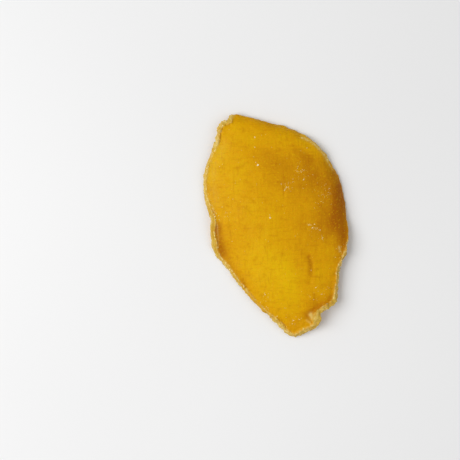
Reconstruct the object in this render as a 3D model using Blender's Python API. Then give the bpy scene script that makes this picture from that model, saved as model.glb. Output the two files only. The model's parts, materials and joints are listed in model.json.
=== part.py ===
"""One dried mango slice: a leathery cheek of fruit lying with its domed side up.

The slice is a thin wavy solid. A grid is laid out in rings that follow the outline, and is
raised into a dome whose rim turns up on the left and lower right, and down on the right and
at the top. Its two faces are that sheet moved half the flesh's thickness each way, and a
rounded wall, slanted where the rim turns up, joins them. The flats under the slice are what
it rests on.

Units are metres, +Z is up and +Y runs along the slice. The origin is under the middle of the
slice, on the surface that it lies on.
"""

import math
import random

import bmesh
import bpy
import numpy as np
from mathutils import Vector, noise

NAME = "mango_slice"
MM = 0.001
SEED = 7

# The rim, seen from above, anticlockwise from the small nib at the top. Each station gives
# x and y in millimetres, how far the rim turns up (down if negative) in degrees, and how
# wide the turned band and how thick the cut rim is, both in millimetres.
STATIONS = (
    (0.8, 47.9, 36, 4.0, 1.7),
    (-0.5, 46.4, 60, 4.0, 2.0),
    (-4.1, 46.5, 56, 4.0, 2.0),
    (-7.7, 41.6, 44, 4.0, 1.8),
    (-16.8, 31.7, 36, 4.0, 1.8),
    (-19.4, 27.2, 36, 4.0, 1.8),
    (-21.2, 21.9, 38, 4.4, 1.8),
    (-22.2, 16.5, 48, 5.0, 1.9),
    (-22.6, 11.7, 60, 5.2, 2.1),
    (-24.8, 7.4, 66, 5.4, 2.2),
    (-25.8, 3.0, 66, 5.4, 2.1),
    (-26.3, -2.2, 56, 5.0, 1.9),
    (-24.5, -7.5, 46, 4.4, 1.7),
    (-21.8, -17.5, 44, 4.0, 1.7),
    (-18.4, -27.5, 42, 4.0, 1.7),
    (-13.0, -38.0, 40, 4.0, 1.7),
    (-11.4, -42.3, 42, 3.5, 1.8),
    (-9.2, -44.8, 44, 3.5, 1.9),
    (-4.0, -44.3, 46, 3.5, 2.0),
    (-1.4, -44.5, 50, 3.6, 2.0),
    (-0.1, -44.4, 70, 4.0, 2.1),
    (0.8, -43.6, 96, 4.8, 2.6),
    (1.7, -42.3, 110, 5.4, 3.4),
    (2.6, -40.7, 104, 5.2, 2.9),
    (4.0, -39.5, 96, 4.8, 2.5),
    (6.2, -39.0, 90, 4.6, 2.2),
    (8.8, -38.4, 84, 4.4, 2.0),
    (11.2, -37.7, 62, 4.2, 1.9),
    (13.7, -33.6, 34, 4.0, 1.7),
    (17.3, -26.4, 28, 4.0, 1.7),
    (21.5, -22.1, 24, 4.0, 1.7),
    (26.2, -14.1, -16, 5.0, 1.7),
    (29.9, -2.7, -58, 6.0, 1.8),
    (31.6, 8.1, -54, 6.0, 1.8),
    (27.8, 24.6, -34, 5.0, 1.7),
    (22.4, 32.5, -58, 5.0, 1.7),
    (12.0, 40.9, -66, 5.0, 1.7),
    (4.5, 45.9, -30, 4.5, 1.6),
)

# Flesh
BODY_THICKNESS = 3.1 * MM
RIM_UNEVENNESS = 0.14
TAPER_WIDTH = 3.5 * MM
RIM_BULGE = 0.2 * MM

# Where the rim turns up its cut is slanted, most at half a right angle and not at all where
# it stands upright: its upper corner lies up to this far inside the lower one, and draws the
# domed face in with it over this reach
CUT_SLANT = 0.5 * MM
SLANT_REACH = 2.5 * MM

# Dome: the height of the sheet's middle at its crest, and how fast it falls to each side
CREST_HEIGHT = 6.5 * MM
CREST_X = 1.0 * MM
CREST_Y = 2.0 * MM
LEFT_FALL = 9.2
RIGHT_FALL = 4.8
END_FALL = 2.0
LEAN = math.radians(1.5)

# Waves: broad swells of the dome, and ruffles along the rim that die out inwards
SWELL_HEIGHT = 0.45 * MM
SWELL_LENGTH = 19.0 * MM
RUFFLE_HEIGHT = 0.32 * MM
RUFFLE_REACH = 5.0 * MM
RUFFLES_ROUND_RIM = (11, 17, 29, 43)

# The grid: rings from the middle to the rim, crowded towards the rim
RINGS = 22
CROWDING = 0.38
SPLINE_STEPS = 24

# A turn smaller than this is taken as this, so that its bend has a radius
LEAST_TURN = math.radians(0.1)

# A point looks this share of its ring inwards to find which way is out
STEP_IN = 0.5 / RINGS

# Faces that meet at more than this are shaded as a corner
CORNER_ANGLE = math.radians(35)

FLESH_COLOUR = (0.62, 0.29, 0.008, 1.0)
FLESH_ROUGHNESS = 0.42


def clear_scene():
    """Remove the objects that a new file comes with."""
    for item in list(bpy.data.objects):
        bpy.data.objects.remove(item, do_unlink=True)


def closed_spline(stations, steps):
    """Points of a smooth closed curve through the stations, steps to each span."""
    points = np.array(stations, dtype=float)
    spans = np.linalg.norm(np.roll(points, -1, axis=0)[:, :2] - points[:, :2], axis=1)
    knots = np.sqrt(spans)
    curve = []
    for index in range(len(points)):
        before, here, after, beyond = (points[(index + k) % len(points)] for k in (-1, 0, 1, 2))
        k_in, k_here, k_out = knots[index - 1], knots[index], knots[(index + 1) % len(points)]
        leaving = (here - before) / k_in - (after - before) / (k_in + k_here) + (after - here) / k_here
        arriving = (after - here) / k_here - (beyond - here) / (k_here + k_out) + (beyond - after) / k_out
        for step in range(steps):
            t = step / steps
            curve.append(
                (2 * t**3 - 3 * t**2 + 1) * here
                + (t**3 - 2 * t**2 + t) * k_here * leaving
                + (3 * t**2 - 2 * t**3) * after
                + (t**3 - t**2) * k_here * arriving
            )
    return np.array(curve)


class Rim:
    """The slice's outline, read by the share of the way round it."""

    def __init__(self, stations):
        curve = closed_spline(stations, SPLINE_STEPS)
        start = int(np.argmax(curve[:, 0]))
        curve = np.roll(curve, -start, axis=0)
        self.curve = np.vstack([curve, curve[:1]])
        steps = np.linalg.norm(np.diff(self.curve[:, :2], axis=0), axis=1)
        self.share = np.concatenate([[0.0], np.cumsum(steps)]) / steps.sum()

    def at(self, share):
        """The plan point, the turn in radians, the turned band and the rim's thickness."""
        x, y, turn, band, thick = (np.interp(share % 1.0, self.share, c) for c in self.curve.T)
        return Vector((x, y, 0.0)) * MM, math.radians(turn), band * MM, thick * MM


class Ruffle:
    """A sum of waves round the rim, from -1 to 1, the same each run."""

    def __init__(self, counts, seed):
        draw = random.Random(seed)
        self.waves = [(count, draw.uniform(0.0, math.tau)) for count in counts]

    def at(self, share):
        total = sum(math.sin(math.tau * count * share + phase) for count, phase in self.waves)
        return total / len(self.waves)


def ring_and_share(u, v):
    """Turn a point of the square grid into its ring, 0 to 1, and its share of the way round."""
    ring = max(abs(u), abs(v))
    if ring == 0.0:
        return 0.0, 0.0
    if abs(u) >= abs(v):
        share = v / u / 8 + (0.0 if u > 0 else 0.5)
    else:
        share = 0.25 - u / v / 8 + (0.0 if v > 0 else 0.5)
    return ring, share % 1.0


def dome_height(x, y):
    """Height of the sheet's middle before its rim turns up or down."""
    across = x - CREST_X
    fall = RIGHT_FALL if across > 0 else LEFT_FALL
    along = y - CREST_Y
    swell = noise.noise(Vector((x, y, SEED * SWELL_LENGTH)) / SWELL_LENGTH)
    level = CREST_HEIGHT + LEAN * across + SWELL_HEIGHT * swell
    return level - fall * across**2 - END_FALL * along**2


def bent_spoke(way_out, reach, turn, band):
    """Plan distance and lift at a share of the way out along a spoke whose end is turned."""
    turn = turn if abs(turn) > LEAST_TURN else LEAST_TURN
    bend_start = reach - band * math.sin(turn) / turn
    travelled = way_out * (bend_start + band)
    if travelled <= bend_start:
        return travelled, 0.0
    angle = turn * (travelled - bend_start) / band
    radius = band / turn
    return bend_start + radius * math.sin(angle), radius * (1.0 - math.cos(angle))


def sheet_point(rim, ruffle, ring, share):
    """A point of the sheet's middle, the flesh's thickness there and how far its cut slants."""
    edge, turn, band, thick = rim.at(share)
    way_out = ring * (1.0 + CROWDING) - CROWDING * ring**2
    length = edge.length
    reach = length - thick * abs(math.sin(turn)) / 2
    distance, lift = bent_spoke(way_out, reach, turn, band)
    plan = edge.normalized() * distance
    inset = (1.0 - way_out) * length
    wave = ruffle.at(share)
    lift += RUFFLE_HEIGHT * wave * math.exp(-((inset / RUFFLE_REACH) ** 2))
    rim_now = thick * (1.0 + RIM_UNEVENNESS * wave)
    flesh = BODY_THICKNESS + (rim_now - BODY_THICKNESS) * math.exp(-inset / TAPER_WIDTH)
    slant = CUT_SLANT * max(math.sin(2 * turn), 0.0) * math.exp(-inset / SLANT_REACH)
    return Vector((plan.x, plan.y, dome_height(plan.x, plan.y) + lift)), flesh, slant


def lay_out_sheet(bm):
    """Make the grid, move it onto the sheet's middle and split it into triangles."""
    rim = Rim(STATIONS)
    ruffle = Ruffle(RUFFLES_ROUND_RIM, SEED)
    up, down, outward = (bm.verts.layers.float_vector.new(name) for name in ("up", "down", "outward"))
    bmesh.ops.create_grid(bm, x_segments=2 * RINGS, y_segments=2 * RINGS, size=1.0)
    shape_at = {}
    for vert in bm.verts:
        ring, share = ring_and_share(vert.co.x, vert.co.y)
        vert.co, *shape_at[vert] = sheet_point(rim, ruffle, ring, share)
        inner = sheet_point(rim, ruffle, ring * (1.0 - STEP_IN), share)[0]
        if ring > 0.0:
            vert[outward] = (vert.co - inner).normalized()
    bmesh.ops.triangulate(bm, faces=bm.faces[:], quad_method="SHORT_EDGE")
    bm.normal_update()
    for vert in bm.verts:
        flesh, slant = shape_at[vert]
        vert[up] = vert.normal * flesh / 2 - vert[outward] * slant
        vert[down] = -vert.normal * flesh / 2
    return up, down, outward


def thicken(bm, up, down, outward):
    """Split the sheet into an upper and an under face and close them with a rounded wall."""
    upper = bm.verts[:]
    copy = bmesh.ops.duplicate(bm, geom=bm.verts[:] + bm.edges[:] + bm.faces[:])
    under = [item for item in copy["geom"] if isinstance(item, bmesh.types.BMVert)]
    under_faces = [item for item in copy["geom"] if isinstance(item, bmesh.types.BMFace)]
    bmesh.ops.reverse_faces(bm, faces=under_faces)
    for vert in upper:
        vert.co += vert[up]
    for vert in under:
        vert.co += vert[down]
    rim_edges = [edge for edge in bm.edges if edge.is_boundary]
    wall = bmesh.ops.bridge_loops(bm, edges=rim_edges)["edges"]
    split = bmesh.ops.subdivide_edges(bm, edges=wall, cuts=1)["geom_inner"]
    for vert in (item for item in split if isinstance(item, bmesh.types.BMVert)):
        vert.co += vert[outward].normalized() * RIM_BULGE
    bmesh.ops.triangulate(bm, faces=[face for face in bm.faces if len(face.verts) > 3])
    bmesh.ops.recalc_face_normals(bm, faces=bm.faces[:])


def set_down(bm):
    """Flatten what would sink into the table, and centre the slice over the origin."""
    for vert in bm.verts:
        vert.co.z = max(vert.co.z, 0.0)
    low_x, high_x = (pick(vert.co.x for vert in bm.verts) for pick in (min, max))
    low_y, high_y = (pick(vert.co.y for vert in bm.verts) for pick in (min, max))
    middle = Vector(((low_x + high_x) / 2, (low_y + high_y) / 2, 0.0))
    bmesh.ops.translate(bm, verts=bm.verts[:], vec=-middle)


def flesh_material():
    """Amber, slightly glossy dried fruit."""
    material = bpy.data.materials.new("mango_flesh")
    material.use_nodes = True
    shader = material.node_tree.nodes["Principled BSDF"]
    shader.inputs["Base Color"].default_value = FLESH_COLOUR
    shader.inputs["Roughness"].default_value = FLESH_ROUGHNESS
    shader.inputs["Metallic"].default_value = 0.0
    material.diffuse_color = FLESH_COLOUR
    return material


def build_slice(collection):
    """The slice itself, one closed solid."""
    bm = bmesh.new()
    thicken(bm, *lay_out_sheet(bm))
    set_down(bm)
    mesh = bpy.data.meshes.new(NAME)
    bm.to_mesh(mesh)
    bm.free()
    mesh.shade_smooth()
    mesh.set_sharp_from_angle(angle=CORNER_ANGLE)
    mesh.materials.append(flesh_material())
    collection.objects.link(bpy.data.objects.new(NAME, mesh))


def main():
    clear_scene()
    collection = bpy.data.collections.new("dried_mango_slice")
    bpy.context.scene.collection.children.link(collection)
    build_slice(collection)


main()
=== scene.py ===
"""The looks of one dried mango slice: wrinkled amber flesh, a frayed dry rim and sugar specks.

Laid out as an add-on and run as a script. Each operator makes one piece or the stage, the
panel in the sidebar lists them, and main() runs them in order. Units are metres, +Z is up
and +Y runs along the slice.
"""

import json
import math
import random

import bmesh
import bpy
from bpy.props import FloatProperty, FloatVectorProperty, IntProperty, PointerProperty
from mathutils import Matrix, Vector, noise
from mathutils.bvhtree import BVHTree
from mathutils.kdtree import KDTree

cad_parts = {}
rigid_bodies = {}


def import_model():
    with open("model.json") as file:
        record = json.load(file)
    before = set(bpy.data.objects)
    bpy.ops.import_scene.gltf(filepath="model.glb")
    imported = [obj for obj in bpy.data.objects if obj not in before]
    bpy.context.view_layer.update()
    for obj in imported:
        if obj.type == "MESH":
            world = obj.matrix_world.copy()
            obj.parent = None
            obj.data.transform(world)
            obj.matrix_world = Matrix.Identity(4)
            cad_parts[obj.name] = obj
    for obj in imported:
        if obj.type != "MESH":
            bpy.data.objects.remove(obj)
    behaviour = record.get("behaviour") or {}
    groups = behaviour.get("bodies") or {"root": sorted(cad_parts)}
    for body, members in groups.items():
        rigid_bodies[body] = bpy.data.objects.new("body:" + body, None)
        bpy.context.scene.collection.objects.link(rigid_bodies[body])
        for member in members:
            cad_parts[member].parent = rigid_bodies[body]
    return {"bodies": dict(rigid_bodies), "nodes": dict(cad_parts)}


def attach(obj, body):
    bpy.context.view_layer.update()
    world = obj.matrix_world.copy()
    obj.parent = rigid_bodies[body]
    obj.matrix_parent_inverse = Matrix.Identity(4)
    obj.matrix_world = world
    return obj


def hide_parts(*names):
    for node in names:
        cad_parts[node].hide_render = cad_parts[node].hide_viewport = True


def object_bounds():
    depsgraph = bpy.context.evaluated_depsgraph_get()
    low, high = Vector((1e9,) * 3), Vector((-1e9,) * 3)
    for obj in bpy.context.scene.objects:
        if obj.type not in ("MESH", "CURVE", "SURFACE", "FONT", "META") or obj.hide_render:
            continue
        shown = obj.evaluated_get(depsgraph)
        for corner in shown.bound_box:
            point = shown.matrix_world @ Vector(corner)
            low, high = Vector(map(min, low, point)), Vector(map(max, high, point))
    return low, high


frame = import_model()

bl_info = {
    "name": "Dried mango slice",
    "version": (1, 0),
    "blender": (4, 5, 0),
    "location": "View3D > Sidebar > Mango",
    "description": "Dresses a dried mango slice with wrinkles, a dry rim and sugar specks",
    "category": "Object",
}

CAD_LOW, CAD_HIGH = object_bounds()
NODE = "mango_slice"
BODY = next(iter(frame["bodies"]))
MM = 0.001

# The underside and the cut rim meet at edges sharper than this, and the rim is two rows of
# faces deep. The rim's corners stay this sharp when the solid is rounded
RIM_CREASE_ANGLE = math.radians(36)
RIM_ROWS = 2
RIM_SHARPNESS = 0.45

# Faces this near a corner of the rim are split once more, to carry its crinkles
RIM_BAND = 1.6 * MM

# How far from the rim's corners its puckers, crinkles, beads and sideways pushes reach
PUCKER_REACH = 2.6 * MM
CRINKLE_REACH = 0.9 * MM
BEAD_REACH = 0.28 * MM
PUSH_REACH = 1.6 * MM

# Spacing of the sideways pushes, broad and fine, and of the cut face's dents
BROAD_PUSH = 3.0 * MM
FINE_PUSH = 1.3 * MM
DENT_SPACING = 1.7 * MM

# Widths of the pale bands at the cut rim's upper and lower corner, of the dry patches beside
# them and of the cut rim's colour on the underside, and the spacing of what breaks them up
UPPER_PALE_BAND = 0.36 * MM
LOWER_PALE_BAND = 0.6 * MM
DRY_BAND = 0.5 * MM
CUT_BAND = 1.0 * MM
PATCH_SPACING = 1.1 * MM

# Spacing of the unevenness of the lighter and deeper patches
TONE_SPACING = 5.0 * MM

# Faces that meet at more than this fold back on each other. They, and faces that cross, are
# relaxed in at most so many rounds
SHARPEST_FOLD = math.radians(120)
UNTANGLING_ROUNDS = 12

# Fibres run along the slice, leaning this far from +Y towards +X, and are so wide, long and deep
FIBRE_LEAN = math.radians(22)
FIBRE_WIDTH = 0.7 * MM
FIBRE_LENGTH = 7.0 * MM
FIBRE_DEPTH = 2.0 * MM

# Rim flakes stay above this height, clear of the floor
LOWEST_FLAKE = 0.5 * MM

# The camera's place in plan, and the height at which the frame's width is measured
CAMERA_X = -19.6 * MM
CAMERA_Y = 3.71 * MM
SLICE_HEIGHT = 3.0 * MM

# A mark's effect ends this many widths off its line
FAR_OFF = 3.0

# The noises that push the rim aside along x, y and z are read this far apart
ASIDE = Vector((31.7, 0.0, 0.0)), Vector((0.0, 57.3, 0.0)), Vector((0.0, 0.0, 83.9))

# Where the rim is smooth, up to 1: points as x and y in millimetres, half width and smoothness
SMOOTH_STRETCHES = {
    "turned under, top": (((1.0, 44.6), (9.5, 39.0), (19.5, 30.6), (25.2, 22.0)), 4.5, 0.8),
    "turned under, right": (((25.2, 22.0), (28.6, 7.0), (27.3, -4.0), (24.2, -13.0)), 4.5, 0.8),
    "left shoulder": (((-12.5, 37.0), (-19.0, 30.5), (-23.6, 21.0), (-24.3, 15.0)), 2.5, 0.6),
}

# Marks on the domed face: points as x and y in millimetres, the width on the left and on the
# right of the line as it runs, and the depth, below zero where the mark stands up
STROKES = {
    "lengthwise dent": (((5.9, -17.0), (5.5, -20.9), (4.2, -24.7), (2.4, -27.4)), 0.7, 1.6, 0.22),
    "dent's tail": (((2.4, -27.4), (1.6, -31.8), (2.2, -34.6)), 0.6, 0.9, 0.10),
    "fissure": (((6.4, 13.2), (7.4, 11.4), (6.1, 9.9), (7.9, 10.6)), 0.4, 0.4, 0.16),
    "fissure's tail": (((6.1, 9.9), (4.9, 7.2), (2.5, 2.8)), 0.45, 0.45, 0.1),
    "fold beside the curl": (((-4.9, -41.4), (-4.0, -42.5), (-3.9, -43.9)), 0.5, 0.5, -0.35),
    "nub on the curl": (((-2.7, -40.5), (-2.2, -42.2)), 0.6, 0.6, -0.4),
    "ridge inside the tip": (((-11.6, -42.2), (-8.6, -42.6), (-6.6, -41.6)), 0.6, 0.6, -0.2),
    "right shoulder": (((23.8, 24.2), (25.4, 21.0), (27.2, 14.6)), 1.5, 1.5, -0.3),
    "middle of the right shoulder": (((25.2, 21.4), (26.2, 18.2)), 1.8, 1.8, -0.2),
}

# Patches of a lighter yellow, above zero, or a deeper orange, below it: points as x and y in
# millimetres, half width and strength. They are partly the flesh's own tone and partly painted
# light and shade. The deeper patches on the right paint the shade where the dome turns away from
# the key light. Those in and beside the left fold, in and before the curl and in the dent paint the
# shade of folds and creases. The lighter patches on the left paint light where the face turns
# towards the key light
TONES_AND_PAINTED_SHADING = {
    # Painted shade, partly browner flesh, where the right edge and flank turn down from the key light
    "right edge": (((27.5, 8.0), (27.5, -6.9), (22.7, -15.7), (18.3, -22.7), (11.7, -33.4)), 3.0, -0.4),
    "turned-down right edge": (((26.4, 2.0), (24.9, -3.7), (21.7, -10.4), (19.6, -18.6)), 3.0, -0.65),
    "right flank": (((21.4, 6.1), (21.3, -0.4), (16.8, -9.3)), 6.0, -0.4),
    "right flank, lower": (((18.5, -5.0), (14.4, -11.5)), 5.0, -0.3),
    "right flank, outer": (((22.3, 5.6), (23.9, -0.4), (21.0, -5.9), (18.4, -12.2)), 2.0, -0.22),
    # Painted shade, partly deeper flesh, on the upper right slope of the dome
    "upper right": (((8.5, 20.2), (12.4, 13.5), (19.8, 14.2)), 7.0, -0.42),
    "beside the fissure": (((2.5, 14.5), (6.0, 12.5)), 3.2, -0.2),
    "top right": (((17.9, 21.5), (20.4, 18.8)), 2.6, -0.3),
    "beside the right shoulder": (((20.0, 26.0), (21.4, 23.2), (23.0, 19.6)), 2.2, 0.5),
    "top": (((9.0, 30.5), (13.0, 29.0)), 3.0, 0.3),
    "right of the crest": (((8.2, -4.5), (4.9, -14.9)), 4.5, -0.2),
    # Painted shade of the raised left fold, in the valley inside it and along the fold
    "valley inside the left fold": (((-23.7, 6.9), (-25.3, 1.6), (-26.0, -3.3)), 2.2, -0.85),
    "valley's end": (((-25.8, -7.8), (-24.7, -13.4), (-24.0, -18.0)), 3.0, -0.55),
    "brown line in the fold": (((-22.7, 13.4), (-24.2, 8.8), (-25.3, 5.0)), 0.8, -0.5),
    # Painted shade inside the curl, in the crease at its foot and before it
    "inside the curl": (((9.5, -33.0), (5.2, -35.3), (0.1, -36.2), (-5.0, -38.0)), 2.0, -0.15),
    "curl's foot": (((8.1, -36.6), (4.5, -37.6), (1.1, -38.0), (-2.3, -38.8), (-4.2, -39.6)), 1.6, -0.7),
    "before the curl": (((3.5, -29.0), (-1.5, -33.5)), 4.0, -0.25),
    "tip": (((-7.0, -39.5), (-12.0, -41.5)), 3.6, -0.2),
    # Painted shade in the dent
    "dent": (((5.2, -18.2), (4.8, -20.9), (3.5, -24.6)), 1.1, -0.65),
    "right of the dent": (((6.2, -25.6), (5.0, -29.6)), 2.4, 0.45),
    "inside the nib": (((-3.5, 41.0), (-2.5, 37.5), (1.5, 34.0)), 4.0, 0.5),
    # Painted light, partly paler flesh, where the left side turns towards the key light
    "upper left": (((-12.8, 34.4), (-17.7, 27.8)), 5.0, 0.6),
    "left shoulder": (((-6.5, 26.0), (-11.5, 18.1)), 4.0, 0.45),
    "left side": (((-21.0, 18.0), (-17.0, 14.0), (-14.0, -2.0)), 5.0, 0.2),
    "left of the crest": (((-8.5, 8.0), (-7.7, 4.7), (-3.0, 2.7)), 4.0, 0.45),
    "middle": (((-2.2, -3.7), (0.5, -5.2)), 3.0, 0.3),
    "below the crest": (((-3.8, -15.9), (-3.2, -22.6), (-5.4, -28.1)), 4.0, 0.35),
    "below the middle": (((-7.8, -5.7), (-6.5, -14.0), (-6.0, -21.5)), 4.5, 0.5),
    "lower middle": (((-16.2, -11.7), (-11.9, -22.2), (-9.0, -31.4)), 7.0, 0.75),
}

# Where the cut rim is dry and pale, above zero, or moist and thin, below it: points as x and y in
# millimetres, half width and strength
DRY_STRETCHES = {
    "nib": (((-1.8, 46.3), (-4.1, 45.2), (-7.2, 44.9), (-9.3, 42.4), (-11.3, 38.1)), 2.0, 0.85),
    "upper left": (((-11.3, 38.1), (-15.1, 34.1), (-20.3, 28.9)), 2.0, 0.6),
    "left": (((-20.3, 28.9), (-23.3, 21.5), (-24.1, 17.5)), 2.0, 0.5),
    "left fold": (((-24.5, 12.5), (-25.6, 6.0), (-27.6, 0.0), (-28.4, -3.9)), 2.0, 0.1),
    "below the fold": (((-28.6, -4.0), (-27.5, -7.5), (-26.4, -12.3), (-26.2, -15.0)), 1.2, 0.5),
    "lower left": (((-25.4, -21.0), (-22.3, -29.6), (-21.0, -32.5)), 2.0, -0.75),
    "tip": (((-19.0, -35.3), (-15.2, -40.7), (-13.4, -43.8), (-11.6, -44.8), (-7.0, -45.0)), 1.6, 0.8),
    "curl": (((-5.4, -45.0), (-2.6, -44.4), (-0.4, -42.4), (0.2, -40.4), (2.6, -39.6)), 2.0, 0.4),
    "curl's far end": (((2.6, -39.6), (8.8, -38.0)), 2.0, 0.35),
    "right, low": (((9.7, -37.1), (10.9, -34.2), (12.6, -31.4)), 1.2, 0.5),
    "right": (((14.2, -29.2), (16.2, -25.6), (18.3, -24.0), (20.4, -21.4), (22.4, -17.2)), 1.2, 0.45),
    # Painted highlight along the right shoulder's rounded edge, partly a pale dry rim
    "right shoulder": (((20.6, 28.0), (24.5, 23.1), (27.2, 15.5)), 1.2, 0.9),
    "below the right shoulder": (((27.2, 15.5), (28.0, 10.0)), 0.9, 0.3),
}

# Pale dry patches on the domed face, given in the same way. Two of them are partly painted light:
# a painted highlight along the right shoulder's rounded edge, and painted light over the shade
# beside the upper left rim
PALE_AND_LIT_PATCHES = {
    # Painted light over the shade in the crease beside the upturned rim, partly pale dry flesh
    "upper left": (((-10.0, 36.0), (-14.0, 32.0), (-18.5, 26.5), (-21.0, 16.0)), 2.4, 0.10),
    "in the left fold, above": (((-22.6, 14.2), (-23.7, 9.5)), 0.3, 0.5),
    "in the left fold": (((-23.3, 8.5), (-25.0, 3.1), (-26.9, -1.3)), 0.3, 0.45),
    # Painted highlight along the rounded edge of the turned-under shoulder, partly a pale dry edge
    "right shoulder": (((21.2, 26.9), (23.6, 24.2), (25.0, 21.4), (26.2, 18.2), (27.0, 14.5)), 0.55, 1.2),
    "below the right shoulder": (((26.8, 14.4), (27.6, 10.4)), 0.4, 0.5),
    "nub on the curl": (((-2.6, -39.8), (-2.2, -41.9)), 0.9, 1.3),
    "fold beside the curl": (((-4.9, -41.4), (-4.0, -42.5), (-3.9, -43.9)), 0.5, 0.35),
    "right, lowest": (((10.3, -33.9), (8.8, -36.7)), 0.5, 0.8),
    "right, low": (((11.9, -32.0), (11.1, -33.4)), 0.6, 0.8),
    "right, middle": (((13.6, -29.2), (12.5, -31.4)), 0.5, 0.7),
    "right, long": (((16.3, -25.1), (14.7, -27.5)), 0.6, 0.9),
    "right, top": (((18.0, -19.0), (17.6, -20.9)), 0.4, 0.6),
}

# Crumbs along lines: points as x and y in millimetres, spread and size, and how many
TRAILS = (
    (((9.6, -5.6), (11.2, -7.2), (13.0, -9.2), (13.4, -12.0), (12.6, -14.3)), 0.4, 0.28, 40),
    (((6.4, 13.2), (7.4, 11.4), (6.1, 9.9), (7.9, 10.6)), 0.6, 0.28, 20),
    (((13.4, 15.4), (16.8, 13.8)), 0.6, 0.28, 14),
    (((18.2, -20.4), (17.0, -24.0), (15.7, -26.9), (13.8, -30.0), (12.2, -33.1)), 0.5, 0.34, 46),
    (((22.6, -16.8), (20.6, -21.1)), 0.4, 0.30, 12),
    (((-28.6, -4.4), (-27.7, -6.5), (-26.5, -8.8), (-25.8, -12.1)), 0.7, 0.34, 50),
    (((-22.3, 17.4), (-22.7, 12.4), (-22.3, 7.9)), 0.9, 0.28, 40),
    (((-18.6, 13.8), (-18.0, 7.0)), 0.8, 0.25, 14),
    (((-1.0, -30.2), (-0.4, -34.5)), 1.2, 0.28, 8),
    (((-20.4, -26.8), (-17.9, -32.6)), 1.0, 0.30, 16),
    (((-17.6, -35.0), (-14.0, -40.6)), 1.2, 0.30, 14),
)

# Crystals of sugar that stand out: x, y and length in millimetres, and heading in degrees
CRYSTALS = (
    (3.5, 34.1, 0.7, 60),
    (2.0, 30.4, 0.6, 80),
    (0.4, 23.3, 1.5, 26),
    (-3.1, 2.2, 1.3, 82),
    (7.5, 10.9, 0.7, 40),
    (6.1, 12.8, 0.7, 110),
    (11.0, -7.9, 0.9, 20),
    (13.4, -10.0, 0.8, 100),
    (23.2, 4.0, 0.7, 10),
    (3.2, -30.4, 0.7, 140),
    (4.4, -33.8, 0.7, 120),
    (0.6, -34.6, 0.6, 70),
    (-16.4, -25.4, 0.7, 90),
    (-9.9, -39.4, 0.8, 30),
    (-7.6, -39.9, 0.6, 160),
)

# Clusters of fine specks: x, y and spread in millimetres, and how many
CLUSTERS = (
    (16.0, 13.5, 3.2, 34),
    (19.8, 2.6, 3.0, 30),
    (22.8, 3.5, 2.4, 18),
    (4.4, -32.6, 3.0, 16),
    (-16.8, -27.0, 2.0, 14),
    (-10.0, -39.5, 2.6, 14),
    (-12.0, -33.0, 4.0, 10),
    (8.0, 11.0, 2.4, 16),
    (12.0, -9.0, 3.0, 14),
    (-14.0, 14.0, 7.0, 20),
    (18.0, -20.0, 3.0, 16),
)


class FleshSettings(bpy.types.PropertyGroup):
    """Relief and colours of the flesh."""

    refinement: IntProperty(
        name="Refinement", description="Times that each face of the solid is split in four", default=2
    )
    lump_height: FloatProperty(
        name="Lumps", description="Height of the soft lumps", default=0.16 * MM, unit="LENGTH"
    )
    lump_length: FloatProperty(
        name="Lump size", description="Spacing of the soft lumps", default=7.5 * MM, unit="LENGTH"
    )
    leather_height: FloatProperty(
        name="Leather", description="Height of the fine wrinkles", default=0.07 * MM, unit="LENGTH"
    )
    leather_length: FloatProperty(
        name="Leather size", description="Spacing of the wrinkles", default=1.9 * MM, unit="LENGTH"
    )
    fibre_height: FloatProperty(
        name="Fibres", description="Height of the lengthwise fibres", default=0.04 * MM, unit="LENGTH"
    )
    wander: FloatProperty(
        name="Wander", description="How far the rim strays sideways", default=0.35 * MM, unit="LENGTH"
    )
    crinkle_height: FloatProperty(
        name="Crinkles", description="Height of the rim's crinkles", default=0.3 * MM, unit="LENGTH"
    )
    crinkle_length: FloatProperty(
        name="Crinkle size", description="Spacing of the crinkles", default=1.3 * MM, unit="LENGTH"
    )
    bead_height: FloatProperty(
        name="Beads", description="Height of the beads along its corners", default=0.26 * MM, unit="LENGTH"
    )
    crumple_height: FloatProperty(
        name="Crumple", description="Height of the cut face's dents", default=0.4 * MM, unit="LENGTH"
    )
    amber: FloatVectorProperty(
        name="Amber", description="Most of the flesh", subtype="COLOR", default=(0.68, 0.335, 0.001)
    )
    # Lemon also stands for painted light, where the face turns towards the key light
    lemon: FloatVectorProperty(
        name="Lemon", description="Its lighter patches", subtype="COLOR", default=(0.74, 0.44, 0.001)
    )
    # Rust also stands for painted shade, where the face turns away from the key light and in folds and
    # creases
    rust_and_shade: FloatVectorProperty(
        name="Rust", description="Its deeper patches", subtype="COLOR", default=(0.40, 0.125, 0.001)
    )
    cut: FloatVectorProperty(
        name="Cut", description="The face of the cut rim", subtype="COLOR", default=(0.52, 0.32, 0.025)
    )
    # Dry also colours the painted highlight on the right shoulder and the painted light at the upper left
    dry: FloatVectorProperty(
        name="Dry", description="The rim's dry corners", subtype="COLOR", default=(0.71, 0.515, 0.14)
    )


class SugarSettings(bpy.types.PropertyGroup):
    """Size and number of the crystals, specks and flakes."""

    speck: FloatProperty(
        name="Speck", description="Usual size of a speck", default=0.24 * MM, unit="LENGTH"
    )
    heap: IntProperty(name="Heap", description="Grains around each crystal", default=3, min=0)
    scattered: IntProperty(
        name="Scattered", description="Specks spread over the whole face", default=120, min=0
    )
    flake: FloatProperty(
        name="Flake", description="Usual length of a flake on the rim", default=0.38 * MM, unit="LENGTH"
    )
    flakes: IntProperty(name="Flakes", description="Dry flakes along the rim", default=700, min=0)
    white: FloatVectorProperty(
        name="Sugar", description="Colour of the sugar", subtype="COLOR", default=(0.92, 0.80, 0.46)
    )
    pale: FloatVectorProperty(
        name="Specks", description="Colour of the fine specks", subtype="COLOR", default=(0.88, 0.68, 0.28)
    )
    straw: FloatVectorProperty(
        name="Flakes", description="Colour of the dry flakes", subtype="COLOR", default=(0.82, 0.60, 0.18)
    )


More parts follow.
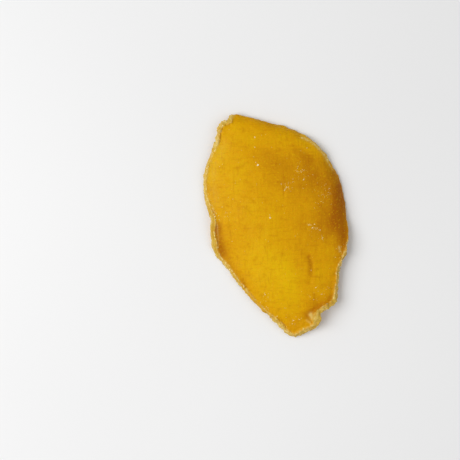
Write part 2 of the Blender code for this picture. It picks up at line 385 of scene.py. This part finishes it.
class StageSettings(bpy.types.PropertyGroup):
    """Camera, floor and lights."""

    camera_height: FloatProperty(
        name="Camera height", description="Above the floor", default=0.45, unit="LENGTH"
    )
    frame_width: FloatProperty(
        name="Frame width", description="Width of the view at the slice", default=0.184, unit="LENGTH"
    )
    roll: FloatProperty(
        name="Roll",
        description="Turn of the slice in the picture, its broad end to the left",
        default=math.radians(22.4),
        subtype="ANGLE",
    )
    key_power: FloatProperty(name="Key", description="Power of the key light", default=4.3, unit="POWER")
    fill_power: FloatProperty(name="Fill", description="Power of the fill light", default=0.8, unit="POWER")
    sky: FloatProperty(name="Sky", description="Strength of the surrounding light", default=0.42)


def link_object(name, mesh):
    """Put a mesh in the scene as a new object."""
    piece = bpy.data.objects.new(name, mesh)
    bpy.context.scene.collection.objects.link(piece)
    return piece


def mesh_from(bm, name):
    """A mesh made of a bmesh, which is freed."""
    mesh = bpy.data.meshes.new(name)
    bm.to_mesh(mesh)
    bm.free()
    return mesh


def face_island(start, crease):
    """The faces reached from one without crossing an edge sharper than the crease."""
    island = {start}
    waiting = [start]
    while waiting:
        for edge in waiting.pop().edges:
            if edge.calc_face_angle(0.0) < crease:
                found = [face for face in edge.link_faces if face not in island]
                island.update(found)
                waiting.extend(found)
    return island


def domed_and_rim(bm):
    """The faces of the domed side, and those of the cut rim around it."""
    lowest = min(bm.faces, key=lambda face: face.calc_center_median().z)
    under = face_island(lowest, RIM_CREASE_ANGLE)
    rim = set()
    line = {vert for face in under for vert in face.verts if not under.issuperset(vert.link_faces)}
    for _ in range(RIM_ROWS):
        row = {face for vert in line for face in vert.link_faces} - under - rim
        rim |= row
        line = {vert for face in row for vert in face.verts} - line
    return set(bm.faces) - under - rim, rim


def tree_along(edges, steps=8):
    """A search tree of points spread along edges."""
    tree = KDTree(len(edges) * steps)
    for index, edge in enumerate(edges):
        start, end = (vert.co for vert in edge.verts)
        for step in range(steps):
            tree.insert(start.lerp(end, step / steps), index)
    tree.balance()
    return tree


def mark_share(bm, name, faces):
    """Store on each point the share of its faces that are among the given ones."""
    layer = bm.verts.layers.float.new(name)
    for vert in bm.verts:
        vert[layer] = sum(face in faces for face in vert.link_faces) / len(vert.link_faces)


def rounded(coarse, levels):
    """A subdivided copy of a mesh."""
    cage = link_object("cage", coarse)
    smooth = cage.modifiers.new("smooth", "SUBSURF")
    smooth.levels = smooth.render_levels = levels
    graph = bpy.context.evaluated_depsgraph_get()
    fine = bpy.data.meshes.new_from_object(cage.evaluated_get(graph))
    bpy.data.objects.remove(cage)
    bpy.data.meshes.remove(coarse)
    return fine


def split_along_rim(mesh, lines):
    """Halve the edges that run along the rim's corners, close to them."""
    bm = bmesh.new()
    bm.from_mesh(mesh)
    apart = {vert: min(line.find(vert.co)[2] for line in lines) for vert in bm.verts}
    along = []
    for edge in bm.edges:
        near, far = sorted(apart[vert] for vert in edge.verts)
        if far < RIM_BAND and far - near < 0.5 * edge.calc_length():
            along.append(edge)
    bmesh.ops.subdivide_edges(bm, edges=along, cuts=1, use_grid_fill=True)
    bm.to_mesh(mesh)
    bm.free()


def refined_solid(node, refinement):
    """A finer copy of the solid, and search trees of the rim's upper and lower corner.

    Its attributes domed and cut are 1 on the domed face and on the cut rim, else 0."""
    bm = bmesh.new()
    bm.from_mesh(frame["nodes"][node].data)
    bmesh.ops.remove_doubles(bm, verts=bm.verts[:], dist=0.001 * MM)
    bm.normal_update()
    domed, rim = domed_and_rim(bm)
    mark_share(bm, "domed", domed)
    mark_share(bm, "cut", rim)
    crease = bm.edges.layers.float.new("crease_edge")
    upper, lower = [], []
    for edge in bm.edges:
        in_rim = sum(face in rim for face in edge.link_faces)
        if in_rim == 1:
            edge[crease] = RIM_SHARPNESS
            (lower if domed.isdisjoint(edge.link_faces) else upper).append(edge)
    lines = tree_along(upper), tree_along(lower)
    bmesh.ops.join_triangles(
        bm,
        faces=bm.faces[:],
        cmp_seam=False,
        cmp_sharp=False,
        cmp_uvs=False,
        cmp_vcols=False,
        cmp_materials=False,
        angle_face_threshold=math.radians(35),
        angle_shape_threshold=math.radians(70),
    )
    fine = rounded(mesh_from(bm, "coarse"), refinement)
    split_along_rim(fine, lines)
    return fine, lines


def bell(distance, width):
    """1 at no distance, falling smoothly to 0 over a few widths."""
    return math.exp(-((distance / width) ** 2))


def off_line(co, points):
    """Distance in plan from a point to a line, in millimetres, and whether it is to its left."""
    x, y = co.x / MM, co.y / MM
    best, left = math.inf, False
    for (ax, ay), (bx, by) in zip(points, points[1:]):
        run_x, run_y = bx - ax, by - ay
        share = ((x - ax) * run_x + (y - ay) * run_y) / (run_x**2 + run_y**2)
        share = min(max(share, 0.0), 1.0)
        off_x, off_y = x - ax - share * run_x, y - ay - share * run_y
        here = math.hypot(off_x, off_y)
        if here < best:
            best, left = here, run_x * off_y - run_y * off_x > 0.0
    return best, left


def stroke_height(co):
    """How far the marks raise the domed face at a point, below zero where they sink it."""
    height = 0.0
    for points, left_width, right_width, depth in STROKES.values():
        away, left = off_line(co, points)
        width = left_width if left else right_width
        if away < FAR_OFF * width:
            height -= depth * MM * bell(away, width)
    return height


def marked(co, marks):
    """The sum of what some marks, each a line with a half width and a strength, come to at a point."""
    total = 0.0
    for points, width, strength in marks.values():
        away = off_line(co, points)[0]
        if away < FAR_OFF * width:
            total += strength * bell(away, width)
    return total


def tone_and_shading_of(co):
    """How much lighter, above zero, or deeper the flesh is at a point: its own tone with painted light and
    shade.
    """
    return marked(co, TONES_AND_PAINTED_SHADING) * (1.0 + 0.2 * noise.noise(co / TONE_SPACING))


def along_fibres(co):
    """A point's place in the fibres' own directions, shrunk so that noise on it makes fibres."""
    sine, cosine = math.sin(FIBRE_LEAN), math.cos(FIBRE_LEAN)
    across = co.x * cosine - co.y * sine
    along = co.x * sine + co.y * cosine
    return Vector((across / FIBRE_WIDTH, along / FIBRE_LENGTH, co.z / FIBRE_DEPTH))


def skin_height(co, settings):
    """How far lumps, wrinkles and fibres raise the flesh at a point."""
    height = settings.lump_height * noise.noise(co / settings.lump_length)
    height += settings.leather_height * (noise.turbulence(co / settings.leather_length, 3, False) - 0.5)
    height += settings.fibre_height * noise.noise(along_fibres(co))
    return height


def roughness_of(co, settings):
    """How frayed the rim is near a point: it comes and goes, and is low on the smooth stretches."""
    comes_and_goes = 0.75 + 1.1 * noise.noise(co / (5.0 * settings.crinkle_length))
    return max(0.2, comes_and_goes) * max(0.2, 1.0 - marked(co, SMOOTH_STRETCHES))


def rim_height(co, apart, rough, settings):
    """How far puckers, crinkles and beads raise the rim this far from a corner of it."""
    size = settings.crinkle_length
    puckers = noise.noise(co / (2.2 * size))
    crinkles = noise.noise(co / size) + 0.7 * noise.noise(co / (0.45 * size))
    beads = max(0.0, 0.45 + 1.3 * noise.noise(co / (0.5 * size)))
    height = 0.6 * settings.crinkle_height * puckers * bell(apart, PUCKER_REACH)
    height += settings.crinkle_height * crinkles * bell(apart, CRINKLE_REACH)
    height += settings.bead_height * beads * bell(apart, BEAD_REACH)
    return height * rough


def dryness(co, off_upper, off_lower, rough, stretch):
    """From 0, moist, to 1: the pale corners of the cut rim, and the stretches that are all dry, among them
    the painted highlight on the right shoulder and the painted light at the upper left.
    """
    patchy = noise.noise(co / PATCH_SPACING)
    upper = bell(off_upper, UPPER_PALE_BAND) * (0.55 + 0.2 * rough + patchy)
    lower = bell(off_lower, LOWER_PALE_BAND) * (0.75 + 0.3 * rough + patchy)
    corners = max(upper, lower) * (1.0 + min(stretch, 0.0))
    return max(0.0, min(1.0, max(corners, stretch * (1.0 + 0.7 * patchy))))


def astray(co, size):
    """A push to any side, from a noise with waves of the given size."""
    return Vector([noise.noise(co / size + aside) for aside in ASIDE])


def relieve(mesh, lines, settings):
    """Raise the relief on the fine mesh and store each point's dryness, with a painted highlight among it,
    and its tone, with painted light and shade.
    """
    for name in ("dry", "tone_and_painted_shading"):
        mesh.attributes.new(name, "FLOAT", "POINT")
    domed = mesh.attributes["domed"].data
    cut = mesh.attributes["cut"].data
    dry = mesh.attributes["dry"].data
    tone_and_painted_shading = mesh.attributes["tone_and_painted_shading"].data
    places = []
    for vert in mesh.vertices:
        co = vert.co
        off_upper, off_lower = (line.find(co)[2] for line in lines)
        apart = min(off_upper, off_lower)
        face_up = domed[vert.index].value
        height = skin_height(co, settings) * (1.0 - 0.5 * cut[vert.index].value)
        stretch = marked(co, DRY_STRETCHES) * max(cut[vert.index].value, bell(apart, DRY_BAND))
        # The pale patches include a painted highlight and painted light, stored with the dryness
        stretch += marked(co, PALE_AND_LIT_PATCHES) * max(cut[vert.index].value, face_up)
        rough = roughness_of(co, settings) if apart < FAR_OFF * MM else 0.0
        rough *= 1.0 + 0.5 * stretch
        height += rim_height(co, apart, rough, settings)
        height += settings.crumple_height * cut[vert.index].value * noise.noise(co / DENT_SPACING)
        if face_up > 0.5:
            height += stroke_height(co)
        push = astray(co, BROAD_PUSH) + 0.8 * rough * astray(co, FINE_PUSH)
        push = push * bell(apart, PUSH_REACH)
        places.append(co + vert.normal * height + push * settings.wander)
        dry[vert.index].value = dryness(co, off_upper, off_lower, rough, stretch)
        beside = max(cut[vert.index].value, bell(off_lower, CUT_BAND))
        cut[vert.index].value = beside * (1.0 + min(stretch, 0.0))
        tone_and_painted_shading[vert.index].value = tone_and_shading_of(co) * face_up
    for vert, place in zip(mesh.vertices, places):
        place.z = max(place.z, 0.0)
        vert.co = place
    mesh.shade_smooth()


def tangled(bm):
    """The points of faces that cross each other or fold back, and of the faces around them."""
    bm.faces.ensure_lookup_table()
    tree = BVHTree.FromBMesh(bm)
    faces = {bm.faces[index] for pair in tree.overlap(tree) if pair[0] != pair[1] for index in pair}
    for edge in bm.edges:
        if edge.calc_face_angle(0.0) > SHARPEST_FOLD:
            faces.update(edge.link_faces)
    core = {vert for face in faces for vert in face.verts}
    return {vert for point in core for face in point.link_faces for vert in face.verts}


def untangle(mesh):
    """Relax the few small spots where the relief makes the skin run through itself."""
    bm = bmesh.new()
    bm.from_mesh(mesh)
    for _ in range(UNTANGLING_ROUNDS):
        spots = tangled(bm)
        if not spots:
            break
        verts = [vert for vert in bm.verts if vert in spots]
        bmesh.ops.smooth_vert(
            bm, verts=verts, factor=0.5, use_axis_x=True, use_axis_y=True, use_axis_z=True
        )
    bm.to_mesh(mesh)
    bm.free()


def add_node(tree, kind, inputs=None, **settings):
    """Add a shader node. Inputs are values or the sockets that feed them."""
    node = tree.nodes.new(kind)
    for key, value in settings.items():
        setattr(node, key, value)
    for key, value in (inputs or {}).items():
        if isinstance(value, bpy.types.NodeSocket):
            tree.links.new(value, node.inputs[key])
        else:
            node.inputs[key].default_value = value
    return node


def colour(values):
    """A colour socket's value."""
    return (*values, 1.0)


def mixed(tree, factor, first, second):
    """Mix two colours, each a value or a socket."""
    node = add_node(tree, "ShaderNodeMix", {0: factor}, data_type="RGBA")
    for index, value in ((6, first), (7, second)):
        if isinstance(value, bpy.types.NodeSocket):
            tree.links.new(value, node.inputs[index])
        else:
            node.inputs[index].default_value = value
    return node.outputs[2]


def sum_of(tree, value, factor, other):
    """A value times a factor plus another."""
    node = add_node(tree, "ShaderNodeMath", {0: value, 1: factor, 2: other}, operation="MULTIPLY_ADD")
    return node.outputs[0]


def product_of(tree, value, other):
    """Two values multiplied."""
    return add_node(tree, "ShaderNodeMath", {0: value, 1: other}, operation="MULTIPLY").outputs[0]


def ranged(tree, value, low, high, to_low=0.0, to_high=1.0, kind="SMOOTHSTEP"):
    """Map a socket's range onto another, clamped, and eased at its ends if not told otherwise."""
    node = add_node(
        tree,
        "ShaderNodeMapRange",
        {"Value": value, "From Min": low, "From Max": high, "To Min": to_low, "To Max": to_high},
        interpolation_type=kind,
    )
    return node.outputs["Result"]


def grain(tree, place, size, detail=3.0, stretch=(1.0, 1.0, 1.0), shift=(0.0, 0.0, 0.0), lean=0.0):
    """A noise in the object's own space, with waves of the given size."""
    turned = add_node(tree, "ShaderNodeMapping", {"Vector": place, "Rotation": (0.0, 0.0, lean)})
    mapped = add_node(
        tree,
        "ShaderNodeMapping",
        {"Vector": turned.outputs["Vector"], "Scale": stretch, "Location": shift},
    )
    node = add_node(
        tree,
        "ShaderNodeTexNoise",
        {"Vector": mapped.outputs["Vector"], "Scale": 1.0 / size, "Detail": detail, "Roughness": 0.55},
    )
    return node.outputs["Fac"]


def attribute(tree, name):
    """A number stored on the mesh."""
    return add_node(tree, "ShaderNodeAttribute", attribute_name=name).outputs["Fac"]


def new_material(name):
    """A material, its node tree, its shader and the object coordinates."""
    material = bpy.data.materials.new(name)
    material.use_nodes = True
    tree = material.node_tree
    place = add_node(tree, "ShaderNodeTexCoord").outputs["Object"]
    return material, tree, tree.nodes["Principled BSDF"], place


def flesh_material(settings):
    """Dried flesh: blotched amber with lengthwise fibres, satin, and a pale frayed rim; its lighter and
    deeper patches also paint light and shade.
    """
    material, tree, shader, place = new_material("dried_flesh")
    dry, cut, tone_and_painted_shading = (attribute(tree, name) for name in ("dry", "cut", "tone_and_painted_shading"))

    blotches = grain(tree, place, 13.0 * MM)
    mottle = grain(tree, place, 2.6 * MM, 4.0, shift=(0.3, 0.1, 0.2))
    fibres = grain(tree, place, 1.1 * MM, stretch=(1.0, 0.12, 1.0), lean=FIBRE_LEAN)
    creases = grain(tree, place, 0.9 * MM, stretch=(0.16, 1.0, 1.0), lean=FIBRE_LEAN)
    flecks = grain(tree, place, 0.7 * MM, 4.0, shift=(0.7, 0.4, 0.1))
    grit = grain(tree, place, 0.28 * MM, 2.0, shift=(0.2, 0.9, 0.5))
    strands = grain(tree, place, 0.5 * MM, 2.0, stretch=(1.0, 0.15, 1.0), lean=FIBRE_LEAN)

    # The stored tone adds painted light, mixed in as lemon, and painted shade, mixed in as rust, to the
    # random blotches
    shade = sum_of(tree, ranged(tree, blotches, 0.3, 0.7, -0.15, 0.15), 1.0, tone_and_painted_shading)
    lighter = ranged(tree, shade, 0.0, 1.0, kind="LINEAR")
    deeper = ranged(tree, shade, 0.0, -1.0, kind="LINEAR")
    base = mixed(tree, lighter, colour(settings.amber), colour(settings.lemon))
    base = mixed(tree, deeper, base, colour(settings.rust_and_shade))
    base = mixed(tree, ranged(tree, mottle, 0.50, 0.80, 0.0, 0.30), base, colour(settings.rust_and_shade))
    base = mixed(tree, ranged(tree, fibres, 0.52, 0.78, 0.0, 0.30), base, colour(settings.rust_and_shade))
    base = mixed(tree, ranged(tree, creases, 0.50, 0.75, 0.0, 0.25), base, colour(settings.rust_and_shade))
    base = mixed(tree, ranged(tree, flecks, 0.54, 0.74, 0.0, 0.60), base, colour(settings.lemon))
    base = mixed(tree, ranged(tree, grit, 0.50, 0.75, 0.0, 0.30), base, colour(settings.rust_and_shade))
    streaked = mixed(
        tree, ranged(tree, strands, 0.45, 0.65, 0.0, 0.5), colour(settings.cut), colour(settings.dry)
    )
    streaked = mixed(tree, ranged(tree, mottle, 0.45, 0.70, 0.0, 0.4), streaked, colour(settings.rust_and_shade))
    base = mixed(tree, ranged(tree, cut, 0.35, 0.9, 0.0, 0.85), base, streaked)
    frayed = ranged(tree, sum_of(tree, fibres, 1.4, flecks), 1.00, 1.35, 0.40, 1.0)
    pale = product_of(tree, dry, frayed)
    base = mixed(tree, pale, base, colour(settings.dry))
    tree.links.new(base, shader.inputs["Base Color"])

    gloss = ranged(tree, mottle, 0.35, 0.70, 0.42, 0.58)
    tree.links.new(sum_of(tree, pale, 0.30, gloss), shader.inputs["Roughness"])

    relief = sum_of(tree, fibres, 0.6, sum_of(tree, grit, 0.5, flecks))
    relief = sum_of(tree, product_of(tree, strands, cut), 2.0, relief)
    bump = add_node(tree, "ShaderNodeBump", {"Height": relief, "Distance": 0.12 * MM})
    tree.links.new(bump.outputs["Normal"], shader.inputs["Normal"])

    shader.inputs["Specular IOR Level"].default_value = 0.05
    shader.inputs["Subsurface Weight"].default_value = 0.12
    shader.inputs["Subsurface Radius"].default_value = (1.0, 0.50, 0.05)
    shader.inputs["Subsurface Scale"].default_value = 1.0 * MM
    return material


def crumb_material(name, first, second, roughness):
    """Dull crumbs, some of one colour and some of another."""
    material, tree, shader, place = new_material(name)
    patches = grain(tree, place, 1.5 * MM, 2.0)
    tint = mixed(tree, ranged(tree, patches, 0.35, 0.65), colour(first), colour(second))
    tree.links.new(tint, shader.inputs["Base Color"])
    shader.inputs["Roughness"].default_value = roughness
    shader.inputs["Specular IOR Level"].default_value = 0.1
    return material


def floor_material():
    """A plain white sweep with a very faint unevenness."""
    material, tree, shader, place = new_material("white_floor")
    cloud = grain(tree, place, 0.3, 2.0)
    tint = mixed(tree, ranged(tree, cloud, 0.3, 0.7), (0.84, 0.84, 0.84, 1.0), (0.87, 0.87, 0.87, 1.0))
    tree.links.new(tint, shader.inputs["Base Color"])
    shader.inputs["Roughness"].default_value = 0.8
    shader.inputs["Specular IOR Level"].default_value = 0.1
    return material


def add_crumb(bm, spot, facing, size, turn, draw, slim=0.55, flat=0.45):
    """Add one angular crumb, pressed into the face that it lies on."""
    made = bmesh.ops.create_icosphere(bm, subdivisions=1, radius=0.5)["verts"]
    for vert in made:
        vert.co *= draw.uniform(0.5, 1.3)
    length = size * draw.uniform(0.8, 1.4)
    stretch = Matrix.Diagonal((length, size * slim * draw.uniform(0.7, 1.2), size * flat, 1.0))
    spin = Matrix.Rotation(turn, 4, "Z")
    lie = Vector((0.0, 0.0, 1.0)).rotation_difference(facing).to_matrix().to_4x4()
    bmesh.ops.transform(bm, matrix=Matrix.Translation(spot) @ lie @ spin @ stretch, verts=made)


def crystal_places(draw, settings):
    """Plan places, sizes and turns of the crystals, each with a few grains around it."""
    for x, y, length, heading in CRYSTALS:
        yield x * MM, y * MM, 0.8 * length * MM, math.radians(heading)
        for _ in range(settings.heap):
            near_x, near_y = draw.gauss(x, 0.35 * length), draw.gauss(y, 0.35 * length)
            size = 0.35 * length * draw.uniform(0.6, 1.2) * MM
            yield near_x * MM, near_y * MM, size, draw.uniform(0.0, math.tau)


def speck_places(draw, settings):
    """Plan places, sizes and turns of the specks in trails and clusters and of the scattered ones."""
    for points, spread, size, count in TRAILS:
        for _ in range(count):
            index = draw.randrange(len(points) - 1)
            (ax, ay), (bx, by) = points[index], points[index + 1]
            share = draw.random()
            near_x = draw.gauss(ax + (bx - ax) * share, 0.6 * spread)
            near_y = draw.gauss(ay + (by - ay) * share, 0.6 * spread)
            grain_size = size * draw.lognormvariate(0.0, 0.4) * MM
            yield near_x * MM, near_y * MM, grain_size, draw.uniform(0.0, math.tau)
    for x, y, spread, count in CLUSTERS:
        for _ in range(count):
            near_x, near_y = draw.gauss(x, 0.6 * spread), draw.gauss(y, 0.6 * spread)
            grain_size = settings.speck * draw.lognormvariate(0.0, 0.4)
            yield near_x * MM, near_y * MM, grain_size, draw.uniform(0.0, math.tau)
    for _ in range(settings.scattered):
        anywhere = draw.uniform(CAD_LOW.x, CAD_HIGH.x), draw.uniform(CAD_LOW.y, CAD_HIGH.y)
        yield *anywhere, settings.speck * draw.lognormvariate(0.0, 0.4), draw.uniform(0.0, math.tau)


def lay_crumbs(name, places, material):
    """Make one piece of crumbs, dropped from above onto the flesh at the given places."""
    flesh = bpy.data.objects["mango_flesh"]
    shape = BVHTree.FromObject(flesh, bpy.context.evaluated_depsgraph_get())
    bm = bmesh.new()
    for index, (x, y, size, turn) in enumerate(places):
        spot, facing, _, _ = shape.ray_cast(Vector((x, y, 2.0 * CAD_HIGH.z)), Vector((0.0, 0.0, -1.0)))
        if spot is not None:
            add_crumb(bm, spot, facing, size, turn, random.Random(index))
    mesh = mesh_from(bm, name)
    mesh.materials.append(material)
    crumbs = link_object(name, mesh)
    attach(crumbs, BODY)


class MANGO_OT_flesh(bpy.types.Operator):
    """Make the slice's flesh over the solid"""

    bl_idname = "mango.flesh"
    bl_label = "Flesh"

    def execute(self, context):
        settings = context.scene.mango_flesh
        mesh, lines = refined_solid(NODE, settings.refinement)
        relieve(mesh, lines, settings)
        untangle(mesh)
        mesh.materials.clear()
        mesh.materials.append(flesh_material(settings))
        flesh = link_object("mango_flesh", mesh)
        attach(flesh, BODY)
        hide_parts(NODE)
        return {"FINISHED"}


class MANGO_OT_crystals(bpy.types.Operator):
    """Lay the crystals of sugar that stand out"""

    bl_idname = "mango.crystals"
    bl_label = "Sugar crystals"

    def execute(self, context):
        settings = context.scene.mango_sugar
        material = crumb_material("sugar", settings.white, settings.white, 0.5)
        lay_crumbs("sugar_crystals", crystal_places(random.Random(5), settings), material)
        return {"FINISHED"}


class MANGO_OT_specks(bpy.types.Operator):
    """Scatter fine specks of sugar on the domed face"""

    bl_idname = "mango.specks"
    bl_label = "Sugar specks"

    def execute(self, context):
        settings = context.scene.mango_sugar
        material = crumb_material("specks", settings.pale, settings.straw, 0.5)
        lay_crumbs("sugar_specks", speck_places(random.Random(11), settings), material)
        return {"FINISHED"}


class MANGO_OT_flakes(bpy.types.Operator):
    """Fray the rim's dry corners with small flakes"""

    bl_idname = "mango.flakes"
    bl_label = "Rim flakes"

    def execute(self, context):
        settings = context.scene.mango_sugar
        draw = random.Random(23)
        mesh = bpy.data.objects["mango_flesh"].data
        dry = mesh.attributes["dry"].data
        corners = [
            vert for vert in mesh.vertices if dry[vert.index].value > 0.5 and vert.co.z > LOWEST_FLAKE
        ]
        bm = bmesh.new()
        for vert in draw.sample(corners, min(settings.flakes, len(corners))):
            size = settings.flake * draw.lognormvariate(0.0, 0.35)
            turn = draw.uniform(0.0, math.tau)
            add_crumb(bm, vert.co, vert.normal, size, turn, draw, slim=0.6, flat=0.25)
        mesh = mesh_from(bm, "rim_flakes")
        mesh.materials.append(crumb_material("dry_flakes", settings.straw, settings.pale, 0.7))
        flakes = link_object("rim_flakes", mesh)
        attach(flakes, BODY)
        return {"FINISHED"}


class MANGO_OT_stage(bpy.types.Operator):
    """Lay the floor and set the lights and the camera"""

    bl_idname = "mango.stage"
    bl_label = "Stage"

    def execute(self, context):
        settings = context.scene.mango_stage
        make_floor()
        make_lights(settings)
        make_camera(settings)
        context.scene.view_settings.view_transform = "Standard"
        return {"FINISHED"}


def make_floor():
    """A wide pale floor at the level that the slice lies on."""
    bm = bmesh.new()
    bmesh.ops.create_grid(bm, x_segments=4, y_segments=4, size=2.0)
    mesh = mesh_from(bm, "floor")
    mesh.materials.append(floor_material())
    link_object("floor", mesh)


def add_area_light(name, bearing, elevation, distance, size, power):
    """A square soft light that looks at the slice, its bearing anticlockwise from +X in degrees."""
    lamp = bpy.data.lights.new(name, "AREA")
    lamp.shape = "SQUARE"
    lamp.size = size
    lamp.energy = power
    light = bpy.data.objects.new(name, lamp)
    turn = Matrix.Rotation(math.radians(bearing), 3, "Z") @ Matrix.Rotation(-math.radians(elevation), 3, "Y")
    light.location = turn @ Vector((distance, 0.0, 0.0))
    light.rotation_euler = (-light.location).to_track_quat("-Z", "Y").to_euler()
    bpy.context.scene.collection.objects.link(light)


def make_lights(settings):
    """A soft key from the slice's left, a weak fill from its right, and an even sky."""
    add_area_light(
        "key", bearing=158.0, elevation=50.0, distance=0.75, size=0.60, power=settings.key_power
    )
    add_area_light(
        "fill", bearing=-20.0, elevation=50.0, distance=0.80, size=0.60, power=settings.fill_power
    )
    world = bpy.data.worlds.new("studio")
    world.use_nodes = True
    background = world.node_tree.nodes["Background"]
    background.inputs["Color"].default_value = (1.0, 1.0, 1.0, 1.0)
    background.inputs["Strength"].default_value = settings.sky
    bpy.context.scene.world = world


def make_camera(settings):
    """A camera straight above, rolled so that the slice leans as it does in the picture."""
    lens = bpy.data.cameras.new("camera")
    lens.sensor_width = 36.0
    lens.lens = lens.sensor_width * (settings.camera_height - SLICE_HEIGHT) / settings.frame_width
    camera = bpy.data.objects.new("camera", lens)
    camera.location = (CAMERA_X, CAMERA_Y, settings.camera_height)
    camera.rotation_euler = (0.0, 0.0, -settings.roll)
    bpy.context.scene.collection.objects.link(camera)
    bpy.context.scene.camera = camera


class MANGO_PT_panel(bpy.types.Panel):
    """Lists the pieces and their settings"""

    bl_label = "Dried mango slice"
    bl_space_type = "VIEW_3D"
    bl_region_type = "UI"
    bl_category = "Mango"

    def draw(self, context):
        layout = self.layout
        scene = context.scene
        for operators, group in (
            (("mango.flesh",), scene.mango_flesh),
            (("mango.crystals", "mango.specks", "mango.flakes"), scene.mango_sugar),
            (("mango.stage",), scene.mango_stage),
        ):
            box = layout.box()
            for operator in operators:
                box.operator(operator)
            for name in group.__annotations__:
                box.prop(group, name)


CLASSES = (
    FleshSettings,
    SugarSettings,
    StageSettings,
    MANGO_OT_flesh,
    MANGO_OT_crystals,
    MANGO_OT_specks,
    MANGO_OT_flakes,
    MANGO_OT_stage,
    MANGO_PT_panel,
)


def register():
    """Register the classes and hang the settings on the scene."""
    for cls in CLASSES:
        bpy.utils.register_class(cls)
    bpy.types.Scene.mango_flesh = PointerProperty(type=FleshSettings)
    bpy.types.Scene.mango_sugar = PointerProperty(type=SugarSettings)
    bpy.types.Scene.mango_stage = PointerProperty(type=StageSettings)


def unregister():
    """Undo register."""
    del bpy.types.Scene.mango_stage
    del bpy.types.Scene.mango_sugar
    del bpy.types.Scene.mango_flesh
    for cls in reversed(CLASSES):
        bpy.utils.unregister_class(cls)


def main():
    """Make the pieces and the stage."""
    register()
    bpy.ops.mango.flesh()
    bpy.ops.mango.crystals()
    bpy.ops.mango.specks()
    bpy.ops.mango.flakes()
    bpy.ops.mango.stage()


if __name__ == "__main__":
    main()
